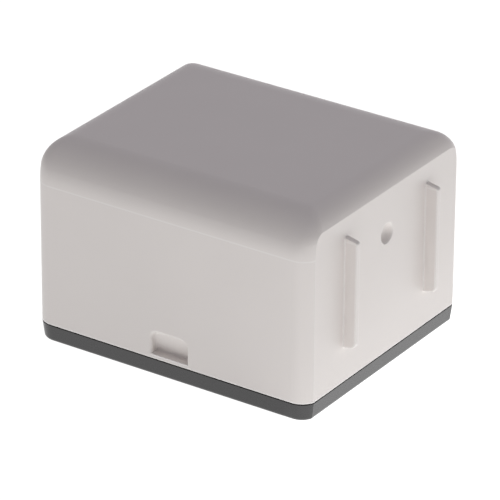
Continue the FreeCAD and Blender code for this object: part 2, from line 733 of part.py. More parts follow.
def sense_lead(side):
    """A thin lead from the joined columns to the board, with the same arch as the main lead."""
    y = -side * SENSE_Y
    face = SENSE_FACE
    over = (face - PAD_X) / 2
    top = LEAD_TURN_Z + over - 1.0
    points = [
        Vector(side * face, y, LEAD_LOW),
        Vector(side * face, y, top),
        Vector(side * PAD_X, y, top),
        Vector(side * PAD_X, y, BOARD_TOP),
    ]
    return wire_run(points, [over - 0.01, over - 0.01], SENSE_R)


def solder_joints():
    """Cones of solder where the leads meet the board, and pads of solder on the strips."""
    joints = []
    for side in (-1, 1):
        for y, z, radius in lead_ends(side):
            pad = Vector(side * PAD_X, y, BOARD_TOP)
            ring = Part.makeCone(radius * 2.0, radius * 1.15, radius * 1.3, pad, Z)
            joints.append(ring.cut(rod(radius, side * PAD_X, y, BOARD_TOP - 1, BOARD_TOP + 5)))
            face = LEAD_FACE if radius == LEAD_R else SENSE_FACE
            x0, x1 = sorted((side * (CELL_HALF + STRIP_THICK), side * (face + radius * 0.2)))
            joints.append(box(x0, x1, y - radius * 1.6, y + radius * 1.6, z - JOINT_DROP, z))
    return group(joints)


# ---- parts on the board ---------------------------------------------------------------------------

def chip(x, y, width, depth, height):
    body = box(x - width / 2, x + width / 2, y - depth / 2, y + depth / 2, BOARD_TOP + 0.1, BOARD_TOP + height)
    top = [e for e in body.Edges if all(abs(v.Z - BOARD_TOP - height) < 1e-6 for v in e.Vertexes)]
    return body.makeChamfer(0.15, top)


def protection_chip():
    return chip(CHIP_X, 0.0, *CHIP_SIZE)


def chip_leads():
    """Gull-wing leads along both long sides of the protection chip."""
    leads = []
    for side in (-1, 1):
        for i in range(CHIP_LEADS):
            y = (i - (CHIP_LEADS - 1) / 2) * CHIP_PITCH
            x0, x1 = sorted((CHIP_X + side * CHIP_SIZE[0] / 2, CHIP_X + side * CHIP_REACH))
            leads.append(box(x0, x1, y - CHIP_PITCH / 5, y + CHIP_PITCH / 5, BOARD_TOP, BOARD_TOP + 0.25))
    return group(leads)


def mosfets():
    return group([chip(x, y, *MOSFET_SIZE) for x, y in MOSFET_PLACES])


def mosfet_tabs():
    tabs = []
    for x, y in MOSFET_PLACES:
        edge = x + MOSFET_SIZE[0] / 2
        tabs.append(box(edge, edge + 1.0, y - 2.0, y + 2.0, BOARD_TOP, BOARD_TOP + 0.4))
    return group(tabs)


def on_board(place, size, lift=0.0):
    """A block of the given size whose middle is over place, standing lift above the board."""
    x, y = place
    half_x, half_y = size[0] / 2, size[1] / 2
    return box(x - half_x, x + half_x, y - half_y, y + half_y, BOARD_TOP + lift, BOARD_TOP + lift + size[2])


def shunt_resistor():
    body = on_board(SHUNT_PLACE, SHUNT_SIZE)
    high = BOARD_TOP + SHUNT_SIZE[2]
    return body.makeChamfer(0.2, [e for e in body.Edges if all(abs(v.Z - high) < 1e-6 for v in e.Vertexes)])


def fuse_body():
    return on_board(FUSE_PLACE, FUSE_SIZE, (FUSE_CAP_SIZE[2] - FUSE_SIZE[2]) / 2)


def fuse_caps():
    x, y = FUSE_PLACE
    away = (FUSE_SIZE[0] + FUSE_CAP_SIZE[0]) / 2
    caps = []
    for end in (x - away, x + away):
        cap = on_board((end, y), FUSE_CAP_SIZE)
        caps.append(cap.makeFillet(0.5, [e for e in cap.Edges if abs(e.Vertexes[0].X - e.Vertexes[1].X) > 1]))
    return group(caps)


def capacitors():
    """Aluminium cans with the pressed waist above their base."""
    cans = []
    for x, y in CAPACITOR_PLACES:
        can = rod(CAPACITOR_R, x, y, BOARD_TOP + CAPACITOR_FOOT, CAPACITOR_TOP)
        rim = [e for e in can.Edges if abs(e.CenterOfMass.z - CAPACITOR_TOP) < 1e-6]
        low = BOARD_TOP + CAPACITOR_FOOT + 1.0
        waist = tube(CAPACITOR_R - 0.35, CAPACITOR_R + 1, x, y, low, low + 0.5)
        cans.append(can.makeFillet(0.4, rim).cut(waist))
    return group(cans)


def capacitor_bases():
    side = 2 * CAPACITOR_R + 0.3
    bases = []
    for x, y in CAPACITOR_PLACES:
        half = side / 2
        top = BOARD_TOP + CAPACITOR_FOOT
        bases.append(rounded_box(x - half, x + half, y - half, y + half, BOARD_TOP, top, 0.8))
    return group(bases)


def inductor():
    x, y = INDUCTOR_PLACE
    half = INDUCTOR_HALF
    low = BOARD_TOP + 0.2
    top = BOARD_TOP + 4.2
    body = rounded_box(x - half, x + half, y - half, y + half, low, top, 1.4)
    return body.cut(tube(1.9, 2.5, x, y, top - 0.3, top + 1))


def small_parts():
    """Tiny resistors and capacitors in two rows beside the protection chip."""
    parts = []
    for i in range(6):
        for y, shift in ((-7.2, 0.0), (7.2, 0.6)):
            parts.append(on_board((-8.0 + i * CHIPLET_PITCH + shift, y), CHIPLET_SIZE))
    return group(parts)


def thermistor():
    """A bead on the board's underside lead that rests between the two middle cells."""
    y = -CELL_PITCH / 2
    middle = BRACKET_TOP - 2.6
    bead = Part.makeSphere(BEAD_R, Vector(0, y, middle))
    return bead.fuse(rod(BEAD_R / 3, 0, y, middle + BEAD_R / 2, BOARD_LOW)).removeSplitter()


# ---- terminal block -------------------------------------------------------------------------------

def terminal_block():
    body = box(BLOCK_X0, BLOCK_X1, -BLOCK_HALF_Y, BLOCK_HALF_Y, BOARD_TOP, BLOCK_TOP)
    back_top = [
        e for e in body.Edges
        if all(abs(v.X - BLOCK_X1) < 1e-6 and abs(v.Z - BLOCK_TOP) < 1e-6 for v in e.Vertexes)
    ]
    body = body.makeChamfer(1.2, back_top)
    tools = []
    for y in (-POLE_Y, POLE_Y):
        half = CAGE_HALF_Y + PLAY
        roof = CAGE_HIGH + CAGE_TRAVEL + PLAY
        tools.append(box(CAGE_X0 - PLAY, CAGE_X1 + PLAY, y - half, y + half, CAGE_LOW - PLAY, roof))
        tools.append(box(BLOCK_X0 - 1, CAGE_X0, y - 1.6, y + 1.6, WINDOW_LOW, WINDOW_LOW + 2.7))
        tools.append(rod(CLAMP_SCREW_R + PLAY, CLAMP_SCREW_X, y, roof - 1, BLOCK_TOP))
        tools.append(rod(CLAMP_HEAD_R + PLAY, CLAMP_SCREW_X, y, CLAMP_HEAD_LOW - PLAY, BLOCK_TOP + 1))
        tools.append(terminal_contact(y, CONTACT_FIT))
    return body.cut(tools)


def terminal_contact(y, grow=0.0):
    """A fixed tongue inside the cage, which the wire is pulled up against, with its leg in the board."""
    x1 = BLOCK_X1 - 0.4 + grow
    high = TONGUE_HIGH + grow
    tongue = box(CAGE_X0 + 0.6, x1, y - 1.0 - grow, y + 1.0 + grow, TONGUE_HIGH - 0.6 - grow, high)
    leg = box(x1 - 0.6 - 2 * grow, x1, y - 0.5 - grow, y + 0.5 + grow, BOARD_LOW - grow, high)
    return tongue.fuse(leg).removeSplitter()


def clamp_cage(y):
    """The box that the screw draws upward to clamp the wire."""
    body = box(CAGE_X0, CAGE_X1, y - CAGE_HALF_Y, y + CAGE_HALF_Y, CAGE_LOW, CAGE_HIGH)
    window = box(
        CAGE_X0 - 1, CAGE_X1 + 1, y - WINDOW_HALF_Y, y + WINDOW_HALF_Y, WINDOW_LOW, WINDOW_HIGH
    )
    return body.cut([window, rod(CLAMP_SCREW_R + PLAY, CLAMP_SCREW_X, y, WINDOW_HIGH - 1, CAGE_HIGH + 1)])


def clamp_screw(y):
    """A slotted screw, held in height by the block, that threads through the cage's top."""
    head = rod(CLAMP_HEAD_R, CLAMP_SCREW_X, y, CLAMP_HEAD_LOW, CLAMP_HEAD_HIGH)
    shank = rod(CLAMP_SCREW_R, CLAMP_SCREW_X, y, CLAMP_TIP, CLAMP_HEAD_LOW)
    reach = 2 * CLAMP_HEAD_R
    low = CLAMP_HEAD_HIGH - CLAMP_SLOT
    slot = box(CLAMP_SCREW_X - reach, CLAMP_SCREW_X + reach, y - 0.25, y + 0.25, low, CLAMP_HEAD_HIGH + 1)
    return head.fuse(shank).removeSplitter().cut(slot)


# ---- switch and button ----------------------------------------------------------------------------

def switch_body():
    """A slide switch's folded metal case, open inside for the slider's foot."""
    body = box(SWITCH_X - 4.3, SWITCH_X + 4.3, SWITCH_Y - 2.1, SWITCH_Y + 2.1, BOARD_TOP, SWITCH_TOP)
    low, high = BOARD_TOP + 1.0, SWITCH_TOP - 0.4
    room = box(SWITCH_X - 3.7, SWITCH_X + 3.7, SWITCH_Y - 1.5, SWITCH_Y + 1.5, low, high)
    x0 = SWITCH_X - 1.0 - SWITCH_NUB / 2 - 0.15
    x1 = SWITCH_X - 1.0 + SWITCH_NUB / 2 + SWITCH_TRAVEL + 0.15
    slot = box(x0, x1, SWITCH_Y - 0.85, SWITCH_Y + 0.85, SWITCH_TOP - 1, SWITCH_TOP + 1)
    return body.cut([room, slot])


def switch_slider():
    """The slider at its off end, with a foot under the case's slot."""
    x = SWITCH_X - 1.0
    half = SWITCH_NUB / 2
    nub = box(x - half, x + half, SWITCH_Y - half, SWITCH_Y + half, BOARD_TOP + 2, SWITCH_TOP + 2)
    foot = box(x - 1.6, x + 1.6, SWITCH_Y - 1.4, SWITCH_Y + 1.4, BOARD_TOP + 1.1, BOARD_TOP + 3.1)
    return nub.fuse(foot).removeSplitter()


def button_body():
    """A wake button's square case, with a round way for its plunger."""
    body = box(BUTTON_X - 3, BUTTON_X + 3, BUTTON_Y - 3, BUTTON_Y + 3, BOARD_TOP, BOARD_TOP + 3.4)
    bore = rod(PLUNGER_R + PLAY, BUTTON_X, BUTTON_Y, BUTTON_ROOM, BOARD_TOP + 4)
    room = rod(COLLAR_R + 0.2, BUTTON_X, BUTTON_Y, BUTTON_ROOM, BUTTON_ROOM + 1.3)
    return body.cut([bore, room])


def button_plunger():
    foot = BUTTON_ROOM + BUTTON_TRAVEL + 0.2
    stem = rod(PLUNGER_R, BUTTON_X, BUTTON_Y, foot, BOARD_TOP + 5.2)
    collar = rod(COLLAR_R, BUTTON_X, BUTTON_Y, foot, foot + 0.7)
    return stem.fuse(collar).removeSplitter()


# ---- all the pieces -------------------------------------------------------------------------------

def build():
    nodes = {
        "wall_plate": wall_plate(),
        "seal_gasket": seal_gasket(),
        "cable_grommet": cable_grommet(),
        "corner_posts": corner_posts(),
        "post_rings": post_rings(),
        "cover_shell": cover_shell(),
        "cover_liner": cover_liner(),
        "cell_bracket_left": cell_bracket(-1),
        "cell_bracket_right": cell_bracket(1),
        "cell_caps": cell_caps(),
        "insulator_rings": insulator_rings(),
        "nickel_strips_left": nickel_strips(-1, CELL_COLUMNS[0], CELL_COLUMNS[1:]),
        "nickel_strips_right": nickel_strips(1, CELL_COLUMNS[2], CELL_COLUMNS[:2]),
        "insulator_sheet_left": insulator_sheet(-1),
        "insulator_sheet_right": insulator_sheet(1),
        "bracket_screws": bracket_screws(),
        "circuit_board": circuit_board(),
        "board_screws": board_screws(),
        "solder_joints": solder_joints(),
        "protection_chip": protection_chip(),
        "chip_leads": chip_leads(),
        "mosfets": mosfets(),
        "mosfet_tabs": mosfet_tabs(),
        "shunt_resistor": shunt_resistor(),
        "fuse_body": fuse_body(),
        "fuse_caps": fuse_caps(),
        "capacitors": capacitors(),
        "capacitor_bases": capacitor_bases(),
        "inductor": inductor(),
        "small_parts": small_parts(),
        "thermistor": thermistor(),
        "terminal_block": terminal_block(),
        "switch_body": switch_body(),
        "switch_slider": switch_slider(),
        "button_body": button_body(),
        "button_plunger": button_plunger(),
    }
    for number, (y, z, plus) in enumerate(cell_places(), 1):
        nodes[f"cell_{number}"] = cell(y, z, plus)
    for name, y in (("minus", -POLE_Y), ("plus", POLE_Y)):
        nodes[f"terminal_contact_{name}"] = terminal_contact(y)
        nodes[f"clamp_cage_{name}"] = clamp_cage(y)
        nodes[f"clamp_screw_{name}"] = clamp_screw(y)
    for name, lead in (("plus", main_lead(1)), ("minus", main_lead(-1))):
        nodes[f"main_lead_{name}"] = lead[0]
        report_lead(f"main_lead_{name}", lead, LEAD_R)
    for name, lead in (("right", sense_lead(1)), ("left", sense_lead(-1))):
        nodes[f"sense_lead_{name}"] = lead[0]
        report_lead(f"sense_lead_{name}", lead, SENSE_R)
    return nodes


def report_lead(name, lead, wire_r):
    solid, length = lead
    print(name, "length", round(length, 2), "volume / (section x length)",
          round(solid.Volume / (math.pi * wire_r ** 2 * length), 4))


def main():
    os.makedirs("parts", exist_ok=True)
    nodes = build()
    for name, shape in nodes.items():
        if not shape.isValid() or not shape.Solids:
            print("check", name, shape.isValid(), len(shape.Solids))
        shape.exportStep(f"parts/{name}.step")
    print(len(nodes), "nodes,", sum(len(s.Solids) for s in nodes.values()), "solids")


main()
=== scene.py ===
"""Looks for the wall battery unit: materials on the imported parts, a white studio and the camera."""
import json
import math

import bpy
from mathutils import Matrix, Vector

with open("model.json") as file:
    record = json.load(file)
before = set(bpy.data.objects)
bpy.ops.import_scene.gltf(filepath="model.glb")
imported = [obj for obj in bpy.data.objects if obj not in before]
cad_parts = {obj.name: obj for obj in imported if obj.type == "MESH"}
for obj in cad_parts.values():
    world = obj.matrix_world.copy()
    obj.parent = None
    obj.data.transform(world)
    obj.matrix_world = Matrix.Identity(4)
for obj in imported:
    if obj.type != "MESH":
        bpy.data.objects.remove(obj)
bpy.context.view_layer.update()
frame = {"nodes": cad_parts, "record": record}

# The camera stands off to the +X side of the pocket's side, a little above, with a long lens.
CAMERA_AZIMUTH = 33.85      # degrees, from -Y towards +X
CAMERA_ELEVATION = 26.43
CAMERA_ROLL = 0.38
CAMERA_DISTANCE = 1.2231    # metres from the wall plate's middle
CAMERA_RIGHT = 0.00052      # how far the view's middle lies to the right of and above that point
CAMERA_UP = 0.0216
FOCAL_LENGTH = 315.1
SENSOR = 36.0

FAR_CLIP = 20.0

FLOOR_RADIUS = 4.0
FLOOR_CORNERS = 96
FLOOR_GLOW = 1.081
# The floor's extra glow along +X, as (metres, glow)
FLOOR_RISE = ((0.0, 0.0), (0.035, 0.0), (0.045, 0.43), (0.06, 0.45), (0.12, 0.20))

# Lit parts of the hall: way towards its middle, where its edge starts and stops as a cosine, strength
OVERHEAD = ((0.0, 0.0, 1.0), 0.6, 0.9, 0.60)
BACK_WALL = ((-0.3, 0.95, 0.0), 0.4, 0.9, 0.565)
RIGHT_WALL = ((1.0, 0.0, 0.0), 0.4, 0.9, 0.084)
FRONT_WALL = ((-0.2, -0.89, -0.4), 0.4, 0.9, 0.35)
SKY_TINT = (1.03, 1.0, 1.06)

MM = 0.001

# The mould's witness line, where the cover's sides meet its dome, carries a painted highlight in place
# of the light its small step would catch
WITNESS_HEIGHT = 48.0 * MM
WITNESS_WIDTH = 0.5 * MM
WITNESS_HIGHLIGHT = 0.3
END_FACING = 0.9            # a surface that faces X more than this belongs to an end

# Painted highlights along the cover's edges, where a rounded edge would catch the light; they fade out
# on the dome
EDGE_HIGHLIGHT_RADIUS = 1.0 * MM
EDGE_HIGHLIGHT_AMOUNT = 0.6
DOME_FADE = 5.0 * MM
EDGE_SAMPLES = 12
EDGE_MATCH = (0.955, 0.993)   # cosine between eased and true normal, on an edge and away from it

WAVE_SCALE = 0.314          # the wave texture's scale times the width of its bands


# ---- node helpers -----------------------------------------------------------------------------------

class Tree:
    """A material's node tree, with short calls for the nodes that the materials below share."""

    def __init__(self, name):
        self.material = bpy.data.materials.new(name)
        self.material.use_nodes = True
        self.nodes = self.material.node_tree.nodes
        self.links = self.material.node_tree.links
        self.shader = self.nodes["Principled BSDF"]
        self.place = self.nodes.new("ShaderNodeTexCoord").outputs["Object"]

    def set(self, **values):
        """Sets constant values on the shader's sockets; an underscore stands for a space."""
        for name, value in values.items():
            self.shader.inputs[name.replace("_", " ")].default_value = value

    def feed(self, socket, output):
        self.links.new(output, self.shader.inputs[socket])

    def stretched(self, x, y, z):
        node = self.nodes.new("ShaderNodeMapping")
        node.inputs["Scale"].default_value = (x, y, z)
        self.links.new(self.place, node.inputs["Vector"])
        return node.outputs["Vector"]

    def noise(self, size, detail=3.0, rough=0.5, place=None):
        """Noise whose features are about size metres across."""
        node = self.nodes.new("ShaderNodeTexNoise")
        node.inputs["Scale"].default_value = 1.0 / size
        node.inputs["Detail"].default_value = detail
        node.inputs["Roughness"].default_value = rough
        self.links.new(place or self.place, node.inputs["Vector"])
        return node.outputs["Fac"]

    def cells(self, size):
        """Distance from the middle of cells that are about size metres across."""
        node = self.nodes.new("ShaderNodeTexVoronoi")
        node.inputs["Scale"].default_value = 1.0 / size
        self.links.new(self.place, node.inputs["Vector"])
        return node.outputs["Distance"]

    def ramp(self, value, stops):
        """A colour ramp over (position, colour) stops."""
        node = self.nodes.new("ShaderNodeValToRGB")
        band = node.color_ramp
        while len(band.elements) < len(stops):
            band.elements.new(0.5)
        for element, (position, colour) in zip(band.elements, stops):
            element.position = position
            element.color = (*colour, 1.0)
        self.links.new(value, node.inputs["Fac"])
        return node.outputs["Color"]

    def spread(self, value, low, high, start=0.3, stop=0.7):
        """Maps start to stop onto low to high."""
        node = self.nodes.new("ShaderNodeMapRange")
        node.inputs["From Min"].default_value = start
        node.inputs["From Max"].default_value = stop
        node.inputs["To Min"].default_value = low
        node.inputs["To Max"].default_value = high
        self.links.new(value, node.inputs["Value"])
        return node.outputs["Result"]

    def wave(self, size, direction):
        """Bands of the given width that run across one axis."""
        node = self.nodes.new("ShaderNodeTexWave")
        node.bands_direction = direction
        node.inputs["Scale"].default_value = WAVE_SCALE / size
        node.inputs["Distortion"].default_value = 0.4
        self.links.new(self.place, node.inputs["Vector"])
        return node.outputs["Fac"]

    def part_of(self, vector, axis):
        """The vector's size along one axis."""
        split = self.nodes.new("ShaderNodeSeparateXYZ")
        self.links.new(vector, split.inputs["Vector"])
        return split.outputs[axis]

    def facing(self, axis, kind):
        """How nearly the surface faces along an axis, either way: 0 to 1."""
        shape = self.nodes.new("ShaderNodeNewGeometry")
        return self.math("ABSOLUTE", self.part_of(shape.outputs[kind], axis), 0.0)

    def upright(self):
        """1 where the surface faces straight up or down, 0 on its sides."""
        return self.math("GREATER_THAN", self.facing("Z", "True Normal"), 0.5)

    def edges(self, radius):
        """1 along sharp edges and corners, fading to 0 at about radius from them."""
        eased = self.nodes.new("ShaderNodeBevel")
        eased.samples = EDGE_SAMPLES
        eased.inputs["Radius"].default_value = radius
        shape = self.nodes.new("ShaderNodeNewGeometry")
        match = self.nodes.new("ShaderNodeVectorMath")
        match.operation = "DOT_PRODUCT"
        self.links.new(eased.outputs["Normal"], match.inputs[0])
        self.links.new(shape.outputs["Normal"], match.inputs[1])
        return self.spread(match.outputs["Value"], 1.0, 0.0, *EDGE_MATCH)

    def level_line(self, height, width):
        """1 in a level line round the long sides and the corners, 0 elsewhere and on the ends."""
        above = self.math("SUBTRACT", self.part_of(self.place, "Z"), height)
        away = self.math("ABSOLUTE", above, 0.0)
        side = self.math("LESS_THAN", self.facing("X", "Normal"), END_FACING)
        return self.math("MULTIPLY", side, self.spread(away, 1.0, 0.0, width / 3, width / 2))

    def math(self, kind, a, b):
        """A Math node over two values, each a number or an output."""
        node = self.nodes.new("ShaderNodeMath")
        node.operation = kind
        for socket, value in zip(node.inputs, (a, b)):
            if isinstance(value, (int, float)):
                socket.default_value = value
            else:
                self.links.new(value, socket)
        return node.outputs["Value"]

    def mix(self, factor, first, second):
        """A colour between first and second, each a colour or an output."""
        node = self.nodes.new("ShaderNodeMix")
        node.data_type = "RGBA"
        for socket, value in ((node.inputs[6], first), (node.inputs[7], second)):
            if isinstance(value, tuple):
                socket.default_value = (*value, 1.0)
            else:
                self.links.new(value, socket)
        self.links.new(factor, node.inputs[0])
        return node.outputs[2]

    def bump(self, height, depth):
        """Relief of the given depth in metres, on top of any that is there."""
        node = self.nodes.new("ShaderNodeBump")
        node.inputs["Strength"].default_value = 1.0
        node.inputs["Distance"].default_value = depth
        self.links.new(height, node.inputs["Height"])
        if self.shader.inputs["Normal"].is_linked:
            self.links.new(self.shader.inputs["Normal"].links[0].from_socket, node.inputs["Normal"])
        self.feed("Normal", node.outputs["Normal"])


def shade(colour, factor):
    """The colour made lighter or darker."""
    return tuple(min(1.0, c * factor) for c in colour)


# ---- materials --------------------------------------------------------------------------------------

def moulded(t, colour, rough, grain, relief, mottle=0.03):
    """Moulded plastic on tree t: spark-eroded grain, faint large mottling and uneven gloss."""
    drift = t.noise(18 * MM, 2.0)
    stops = [(0.3, shade(colour, 1 - mottle)), (0.7, shade(colour, 1 + mottle))]
    t.feed("Base Color", t.ramp(drift, stops))
    grit = t.noise(grain, 2.0, 0.6)
    t.feed("Roughness", t.spread(grit, rough - 0.05, rough + 0.05))
    t.bump(grit, relief)


def plated(t, colour, rough, streak, relief, tarnish=0.06):
    """Bright metal on tree t: fine streaks along the scale of streak, and cloudy tarnish."""
    t.set(Metallic=1.0)
    cloud = t.noise(3 * MM, 3.0)
    stops = [(0.3, shade(colour, 1 - tarnish)), (0.7, shade(colour, 1 + tarnish / 2))]
    t.feed("Base Color", t.ramp(cloud, stops))
    lines = t.noise(0.25 * MM, 3.0, 0.65, t.stretched(*streak))
    fine_gloss = t.spread(lines, rough - 0.06, rough + 0.06)
    t.feed("Roughness", t.math("ADD", fine_gloss, t.spread(cloud, -0.03, 0.03)))
    t.bump(lines, relief)


def cover_plastic(t):
    """Off-white ABS with a fine satin texture, with painted highlights at its edges and along its
    witness line.
    """
    base = (0.83, 0.785, 0.758)
    drift = t.noise(25 * MM, 2.0)
    body = t.ramp(drift, [(0.3, shade(base, 0.988)), (0.7, shade(base, 1.008))])
    # painted highlight along the witness line
    seam_highlight = t.math("MULTIPLY", t.level_line(WITNESS_HEIGHT, WITNESS_WIDTH), WITNESS_HIGHLIGHT)
    height = t.part_of(t.place, "Z")
    # painted highlight on the cover's edges: full below the witness line, gone on the dome
    highlight_by_height = t.spread(height, EDGE_HIGHLIGHT_AMOUNT, 0.0, WITNESS_HEIGHT, WITNESS_HEIGHT + DOME_FADE)
    painted_edge_highlight = t.math("MULTIPLY", t.edges(EDGE_HIGHLIGHT_RADIUS), highlight_by_height)
    # pale holds the painted highlights of the edges and of the witness line, mixed towards a light
    # colour
    pale = t.math("MAXIMUM", painted_edge_highlight, seam_highlight)
    t.feed("Base Color", t.mix(pale, body, (0.98, 0.965, 0.95)))
    coarse = t.noise(0.55 * MM, 2.0, 0.6)
    fine = t.cells(0.22 * MM)
    t.feed("Roughness", t.spread(coarse, 0.34, 0.46))
    t.bump(coarse, 0.003 * MM)
    t.bump(fine, 0.0015 * MM)
    t.set(IOR=1.5)


def plate_plastic(t):
    """Dark grey ABS with a coarser spark-eroded grain than the cover's."""
    moulded(t, (0.016, 0.0148, 0.0165), 0.30, 0.4 * MM, 0.004 * MM)
    t.bump(t.cells(0.3 * MM), 0.002 * MM)
    t.set(IOR=1.65)


def black_rubber(t):
    """Matt rubber with a dusty bloom in patches."""
    bloom = t.noise(6 * MM, 4.0, 0.6)
    t.feed("Base Color", t.ramp(bloom, [(0.45, (0.016, 0.016, 0.017)), (0.75, (0.045, 0.044, 0.043))]))
    t.feed("Roughness", t.spread(bloom, 0.62, 0.8))
    t.bump(t.noise(0.2 * MM, 3.0), 0.006 * MM)
    t.set(Sheen_Weight=0.15)


def liner_foam(t):
    """Closed-cell foam: a skin of tiny burst bubbles."""
    bubbles = t.cells(0.6 * MM)
    t.feed("Base Color", t.ramp(bubbles, [(0.0, (0.05, 0.05, 0.055)), (0.6, (0.13, 0.13, 0.14))]))
    t.feed("Roughness", t.spread(bubbles, 0.8, 0.95, 0.0, 0.6))
    t.bump(bubbles, 0.08 * MM)
    t.bump(t.noise(4 * MM, 2.0), 0.1 * MM)


def bracket_plastic(t):
    """Glass-filled nylon: pale short fibres that lie along the flow, in a dark matt body."""
    fibres = t.noise(0.35 * MM, 2.0, 0.7, t.stretched(1.0, 1.0, 0.12))
    t.feed("Base Color", t.ramp(fibres, [(0.5, (0.022, 0.022, 0.025)), (0.75, (0.085, 0.084, 0.082))]))
    t.feed("Roughness", t.spread(fibres, 0.42, 0.6))
    t.bump(fibres, 0.01 * MM)
    t.bump(t.noise(9 * MM, 2.0), 0.06 * MM)


def cell_sleeve(t):
    """Glossy heat-shrunk film: fine lengthwise tension lines, shallow ripples and slight fading."""
    fade = t.noise(12 * MM, 3.0)
    t.feed("Base Color", t.ramp(fade, [(0.3, (0.035, 0.165, 0.34)), (0.7, (0.05, 0.205, 0.40))]))
    lines = t.noise(0.5 * MM, 2.0, 0.5, t.stretched(0.06, 1.0, 1.0))
    ripples = t.noise(2.5 * MM, 1.0, 0.5, t.stretched(1.0, 0.5, 0.5))
    t.feed("Roughness", t.spread(lines, 0.16, 0.28))
    t.bump(lines, 0.012 * MM)
    t.bump(ripples, 0.05 * MM)
    t.set(Coat_Weight=0.35, Coat_Roughness=0.12)


def steel(t):
    """Nickel-plated steel with fine turning marks."""
    plated(t, (0.66, 0.655, 0.64), 0.24, (1.0, 1.0, 6.0), 0.003 * MM)


def nickel(t):
    """Rolled strip, with its rolling lines across the pack."""
    plated(t, (0.68, 0.665, 0.62), 0.30, (1.0, 0.08, 2.0), 0.004 * MM, 0.1)


def insulating_paper(t):
    """Grey-green vulcanised paper with tangled fibres pressed into it."""
    tangle = t.noise(0.5 * MM, 5.0, 0.7, t.stretched(1.0, 1.0, 0.35))
    flecks = t.cells(1.3 * MM)
    body = t.ramp(tangle, [(0.35, (0.10, 0.15, 0.11)), (0.65, (0.17, 0.235, 0.18))])
    t.feed("Base Color", t.mix(t.spread(flecks, 0.25, 0.0, 0.02, 0.2), body, (0.33, 0.36, 0.28)))
    t.feed("Roughness", t.spread(tangle, 0.7, 0.86))
    t.bump(tangle, 0.03 * MM)


def white_paper(t):
    """Pressed paper with a few darker fibres."""
    tangle = t.noise(0.35 * MM, 5.0, 0.7)
    t.feed("Base Color", t.ramp(tangle, [(0.3, (0.62, 0.61, 0.56)), (0.5, (0.76, 0.755, 0.72))]))
    t.feed("Roughness", t.spread(tangle, 0.75, 0.9))
    t.bump(tangle, 0.02 * MM)


def board_laminate(t):
    """Green solder mask over woven glass, with bare tan laminate at the board's cut edges."""
    weave_x = t.wave(0.45 * MM, "X")
    weave_y = t.wave(0.45 * MM, "Y")
    weave = t.math("MULTIPLY", weave_x, weave_y)
    pool = t.noise(5 * MM, 3.0)
    mask = t.ramp(pool, [(0.35, (0.006, 0.085, 0.035)), (0.65, (0.010, 0.125, 0.050))])
    copper = t.mix(t.spread(t.noise(3.2 * MM, 0.0), 0.0, 0.5, 0.52, 0.54), mask, (0.03, 0.20, 0.075))
    edge = t.mix(t.spread(weave_x, 0.0, 1.0), (0.30, 0.24, 0.10), (0.46, 0.38, 0.18))
    t.feed("Base Color", t.mix(t.upright(), edge, copper))
    t.feed("Roughness", t.spread(pool, 0.2, 0.32))
    t.bump(weave, 0.004 * MM)
    t.set(Coat_Weight=0.4, Coat_Roughness=0.15)


def chip_black(t):
    """Moulded epoxy with a sandy matt face."""
    sand = t.noise(0.12 * MM, 3.0, 0.7)
    t.feed("Base Color", t.ramp(sand, [(0.3, (0.010, 0.010, 0.011)), (0.7, (0.028, 0.028, 0.030))]))
    t.feed("Roughness", t.spread(sand, 0.45, 0.65))
    t.bump(sand, 0.008 * MM)


def tinned_metal(t):
    """Dull tin with a soft crystalline bloom."""
    plated(t, (0.70, 0.70, 0.685), 0.34, (1.0, 1.0, 1.0), 0.003 * MM, 0.1)
    t.bump(t.cells(0.5 * MM), 0.004 * MM)


def solder(t):
    """Flowed solder: bright, with grainy dull patches."""
    t.set(Metallic=1.0)
    patch = t.noise(0.8 * MM, 4.0, 0.6)
    t.feed("Base Color", t.ramp(patch, [(0.4, (0.62, 0.62, 0.61)), (0.65, (0.47, 0.47, 0.46))]))
    t.feed("Roughness", t.spread(patch, 0.16, 0.45))
    t.bump(patch, 0.02 * MM)


def ceramic(t):
    """Fired ceramic: warm white with fine pores."""
    pores = t.cells(0.25 * MM)
    t.feed("Base Color", t.ramp(pores, [(0.0, (0.55, 0.52, 0.45)), (0.25, (0.74, 0.71, 0.64))]))
    t.feed("Roughness", t.spread(pores, 0.5, 0.38, 0.0, 0.5))
    t.bump(pores, 0.006 * MM)


def ferrite(t):
    """Sintered ferrite: glinting dark grains."""
    grains = t.cells(0.18 * MM)
    t.feed("Base Color", t.ramp(grains, [(0.0, (0.025, 0.025, 0.028)), (0.6, (0.075, 0.075, 0.08))]))
    t.feed("Roughness", t.spread(grains, 0.62, 0.4, 0.0, 0.6))
    t.bump(grains, 0.012 * MM)


def aluminium_can(t):
    """Drawn aluminium with upright draw lines."""
    plated(t, (0.76, 0.765, 0.77), 0.26, (1.0, 1.0, 0.05), 0.004 * MM, 0.04)


def lead_sleeve(t, colour, fleck):
    """Silicone sleeve: extrusion lines along the lead and dust that it picks up."""
    lines = t.noise(0.3 * MM, 2.0, 0.5, t.stretched(1.0, 1.0, 0.1))
    dust = t.noise(1.6 * MM, 5.0, 0.7)
    tint = t.ramp(lines, [(0.3, shade(colour, 0.9)), (0.7, shade(colour, 1.1))])
    t.feed("Base Color", t.mix(t.spread(dust, 0.0, 0.12, 0.55, 0.75), tint, fleck))
    t.feed("Roughness", t.spread(dust, 0.4, 0.55))
    t.bump(lines, 0.008 * MM)
    t.set(Sheen_Weight=0.1)


def red_lead(t):
    lead_sleeve(t, (0.42, 0.014, 0.012), (0.6, 0.4, 0.38))


def black_lead(t):
    lead_sleeve(t, (0.014, 0.014, 0.015), (0.2, 0.2, 0.2))


def white_lead(t):
    lead_sleeve(t, (0.66, 0.65, 0.61), (0.4, 0.38, 0.35))


